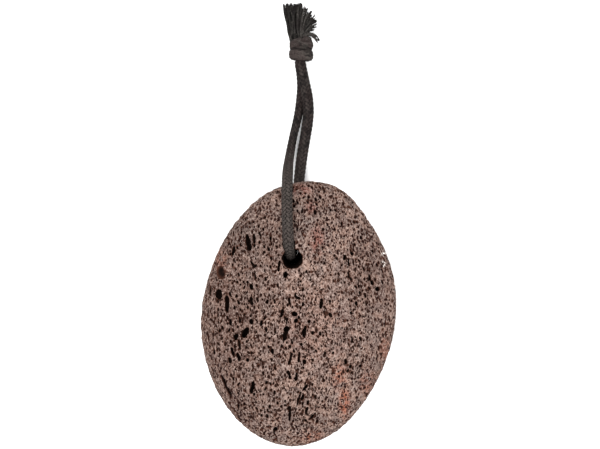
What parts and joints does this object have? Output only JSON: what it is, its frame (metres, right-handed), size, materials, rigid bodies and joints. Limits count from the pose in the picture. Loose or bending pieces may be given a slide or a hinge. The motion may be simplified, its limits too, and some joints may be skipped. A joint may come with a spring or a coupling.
{
  "type": "pumice stone",
  "caption": "Smooth egg-shaped pumice foot stone with a drilled hole near its narrow end, on a soft cord loop tied in a knot with frayed ends.",
  "frame": {"origin": "on the surface it rests on, under the middle of the stone's outline", "axes": "+Y from the stone's round end to the end with the hole and on to the knot, +Z up out of the stone's front face, +X to the right seen from above with +Y up"},
  "size_m": [0.07, 0.1589, 0.0276],
  "materials": {
    "pumice": "matte",
    "cord": "matte"
  },
  "bodies": {
    "root": {"pumice_stone": "pumice", "hanging_cord": "cord", "cord_knot": "cord", "frayed_end_left": "cord", "frayed_end_right": "cord"}
  },
  "joints": []
}
